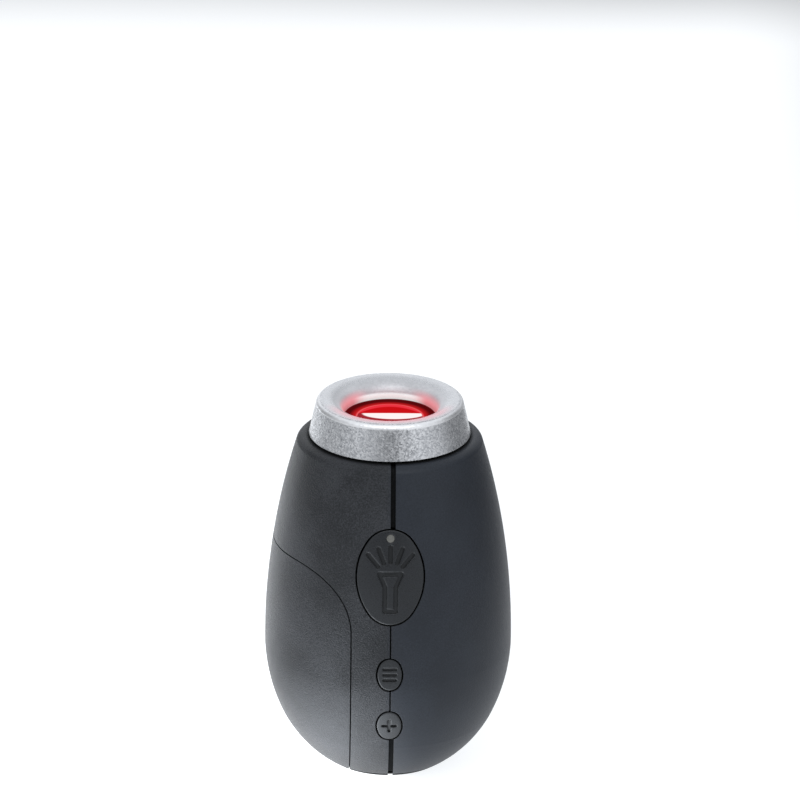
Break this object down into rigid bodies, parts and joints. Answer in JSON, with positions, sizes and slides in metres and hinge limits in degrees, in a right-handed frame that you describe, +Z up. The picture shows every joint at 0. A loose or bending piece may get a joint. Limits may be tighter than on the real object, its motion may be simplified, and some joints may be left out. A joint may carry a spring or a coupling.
{
  "type": "projection alarm clock",
  "caption": "Pocket projection alarm clock: egg-shaped clamshell case with front buttons, a turning focus ring over a lens barrel and a battery door.",
  "frame": {"origin": "centre of the flat foot, on the surface the clock stands on", "axes": "+Z up along the axis of the egg-shaped case and the lens; the front with the three buttons faces -Y; +X to the right seen from the front"},
  "size_m": [0.045, 0.045, 0.07],
  "materials": {
    "case_plastic": "satin, fine grain",
    "button_plastic": "satin",
    "ring_paint": "silver sparkle paint",
    "black_plastic": "matt",
    "lens_plastic": "clear moulding lit red from inside",
    "clear_plastic": "clear",
    "display_glass": "clear",
    "lamp_plastic": "clear red",
    "window_plastic": "frosted",
    "board_laminate": "solder mask",
    "ribbon_film": "polyimide film",
    "chip_resin": "epoxy",
    "plunger_plastic": "moulded",
    "tray_plastic": "matt",
    "cell_steel": "nickel plated",
    "contact_brass": "sprung strip",
    "plated_steel": "zinc plated"
  },
  "bodies": {
    "case": {"right_shell": "case_plastic", "left_shell": "case_plastic", "optics_tube": "black_plastic", "led_board": "board_laminate", "projection_led": "lamp_plastic", "condenser_lens": "clear_plastic", "display_frame": "black_plastic", "display_panel": "display_glass", "display_ribbon": "ribbon_film", "main_board": "board_laminate", "clock_chip": "chip_resin", "quartz_crystal": "plated_steel", "alarm_buzzer": "black_plastic", "projection_switch": "black_plastic", "mode_switch": "black_plastic", "set_switch": "black_plastic", "battery_tray": "tray_plastic", "button_cells": "cell_steel", "battery_spring": "contact_brass", "battery_contact": "contact_brass", "case_screws": "plated_steel"},
    "door": {"battery_door": "case_plastic"},
    "ring": {"focus_ring": "ring_paint"},
    "barrel": {"lens_barrel": "black_plastic", "projection_lens": "lens_plastic", "lens_retainer": "black_plastic"},
    "projection_key": {"projection_button": "button_plastic", "indicator_window": "window_plastic", "projection_plunger": "plunger_plastic"},
    "mode_key": {"mode_button": "button_plastic", "mode_plunger": "plunger_plastic"},
    "set_key": {"set_button": "button_plastic", "set_plunger": "plunger_plastic"}
  },
  "joints": [
    {"name": "focus_turn", "type": "hinge", "parent": "case", "child": "ring", "pos_m": [0, 0, 0.0635], "axis": [0, 0, 1], "range_deg": [-90, 90]},
    {"name": "focus_slide", "type": "slide", "parent": "case", "child": "barrel", "axis": [0, 0, 1], "range_m": [-0.001, 0.001]},
    {"name": "door_slide", "type": "slide", "parent": "case", "child": "door", "axis": [-1, 0, 0], "range_m": [0, 0.03]},
    {"name": "projection_press", "type": "slide", "parent": "case", "child": "projection_key", "axis": [0, 1, 0], "range_m": [0, 0.0005], "stiffness_N_per_m": 500, "springref_m": -0.0005},
    {"name": "mode_press", "type": "slide", "parent": "case", "child": "mode_key", "axis": [0, 1, 0], "range_m": [0, 0.0005], "stiffness_N_per_m": 500, "springref_m": -0.0005},
    {"name": "set_press", "type": "slide", "parent": "case", "child": "set_key", "axis": [0, 1, 0], "range_m": [0, 0.0005], "stiffness_N_per_m": 500, "springref_m": -0.0005}
  ],
  "couplings": [
    {"joint": "focus_turn", "follows": "focus_slide", "rad_per_m": 1570.8}
  ]
}
